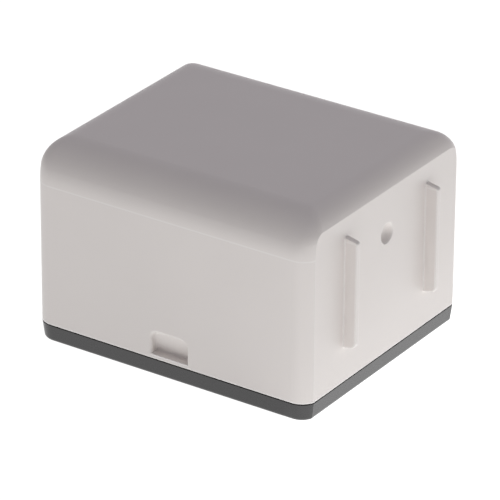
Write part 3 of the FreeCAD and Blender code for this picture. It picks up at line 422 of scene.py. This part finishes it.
def terminal_plastic(t):
    """Green nylon, faintly translucent, with flow lines."""
    flow = t.noise(2.4 * MM, 3.0, 0.6, t.stretched(0.5, 1.0, 1.6))
    t.feed("Base Color", t.ramp(flow, [(0.3, (0.018, 0.135, 0.042)), (0.7, (0.026, 0.18, 0.058))]))
    grit = t.noise(0.2 * MM, 2.0)
    t.feed("Roughness", t.spread(grit, 0.32, 0.45))
    t.bump(grit, 0.006 * MM)
    t.set(Subsurface_Weight=0.08, Subsurface_Scale=0.5 * MM)


def brass(t):
    """Plated brass with sawn edges and slight tarnish."""
    plated(t, (0.72, 0.53, 0.24), 0.28, (1.0, 4.0, 1.0), 0.005 * MM, 0.14)


def switch_plastic(t):
    """Black moulded nylon with a fine matt grain."""
    moulded(t, (0.022, 0.022, 0.023), 0.42, 0.16 * MM, 0.005 * MM, 0.08)


def epoxy_bead(t):
    """Dipped epoxy: glossy, with the slight waves of a dried drop."""
    wave = t.noise(1.2 * MM, 2.0)
    t.feed("Base Color", t.ramp(wave, [(0.3, (0.012, 0.012, 0.013)), (0.7, (0.03, 0.03, 0.032))]))
    t.feed("Roughness", t.spread(wave, 0.1, 0.2))
    t.bump(wave, 0.05 * MM)
    t.set(Coat_Weight=0.5, Coat_Roughness=0.08)


MAKERS = (
    cover_plastic, plate_plastic, black_rubber, liner_foam, bracket_plastic, cell_sleeve, steel, nickel,
    insulating_paper, white_paper, board_laminate, chip_black, tinned_metal, solder, ceramic, ferrite,
    aluminium_can, red_lead, black_lead, white_lead, terminal_plastic, brass, switch_plastic, epoxy_bead,
)


def dress():
    """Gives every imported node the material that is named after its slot."""
    made = {}
    for maker in MAKERS:
        tree = Tree(maker.__name__)
        maker(tree)
        made[maker.__name__] = tree.material
    for part in frame["record"]["subparts"]:
        for place in frame["nodes"][part["node"]].material_slots:
            place.material = made[part["material_slot"]]


# ---- studio -----------------------------------------------------------------------------------------

def add_floor():
    """A wide round white floor that glows as a lit sweep does, more strongly beside the fins."""
    bpy.ops.mesh.primitive_circle_add(
        vertices=FLOOR_CORNERS, radius=FLOOR_RADIUS, fill_type="NGON", location=(0, 0, 0)
    )
    floor = bpy.context.object
    floor.name = "floor"
    t = Tree("floor")
    floor.data.materials.append(t.material)
    t.set(Base_Color=(0.0, 0.0, 0.0, 1.0), Specular_IOR_Level=0.0)
    t.set(Emission_Color=(1.0, 0.997, 0.994, 1.0))
    reach = FLOOR_RISE[-1][0]
    along = t.spread(t.part_of(t.place, "X"), 0.0, 1.0, 0.0, reach)
    extra = t.ramp(along, [(x / reach, (rise, rise, rise)) for x, rise in FLOOR_RISE])
    t.feed("Emission Strength", t.math("ADD", extra, FLOOR_GLOW))


def add_hall():
    """A dark studio hall with a wide soft box overhead and dimly lit walls."""
    world = bpy.data.worlds.new("studio")
    bpy.context.scene.world = world
    world.use_nodes = True
    nodes = world.node_tree.nodes
    links = world.node_tree.links
    coords = nodes.new("ShaderNodeTexCoord")
    total = None
    for way, start, stop, strength in (OVERHEAD, BACK_WALL, RIGHT_WALL, FRONT_WALL):
        facing = nodes.new("ShaderNodeVectorMath")
        facing.operation = "DOT_PRODUCT"
        facing.inputs[1].default_value = way
        links.new(coords.outputs["Generated"], facing.inputs[0])
        edge = nodes.new("ShaderNodeMapRange")
        edge.inputs["From Min"].default_value = start
        edge.inputs["From Max"].default_value = stop
        edge.inputs["To Max"].default_value = strength
        links.new(facing.outputs["Value"], edge.inputs["Value"])
        if total is None:
            total = edge.outputs["Result"]
        else:
            both = nodes.new("ShaderNodeMath")
            links.new(total, both.inputs[0])
            links.new(edge.outputs["Result"], both.inputs[1])
            total = both.outputs["Value"]
    nodes["Background"].inputs["Color"].default_value = (*SKY_TINT, 1.0)
    links.new(total, nodes["Background"].inputs["Strength"])


def add_camera():
    """A long lens aimed by azimuth, elevation and roll, then moved sideways and up."""
    azimuth = math.radians(CAMERA_AZIMUTH)
    elevation = math.radians(CAMERA_ELEVATION)
    roll = math.radians(CAMERA_ROLL)
    level = Vector((math.cos(azimuth), math.sin(azimuth), 0.0))
    outward = Vector((math.sin(azimuth), -math.cos(azimuth), 0.0))
    back = outward * math.cos(elevation) + Vector((0.0, 0.0, math.sin(elevation)))
    above = back.cross(level)
    right = level * math.cos(roll) + above * math.sin(roll)
    up = above * math.cos(roll) - level * math.sin(roll)
    data = bpy.data.cameras.new("camera")
    data.lens = FOCAL_LENGTH
    data.sensor_width = SENSOR
    data.clip_end = FAR_CLIP
    camera = bpy.data.objects.new("camera", data)
    turn = Matrix((right, up, back)).transposed().to_4x4()
    place = back * CAMERA_DISTANCE + right * CAMERA_RIGHT + up * CAMERA_UP
    camera.matrix_world = Matrix.Translation(place) @ turn
    bpy.context.collection.objects.link(camera)
    bpy.context.scene.camera = camera


add_camera()
add_floor()
add_hall()
dress()
bpy.context.scene.view_settings.view_transform = "Standard"
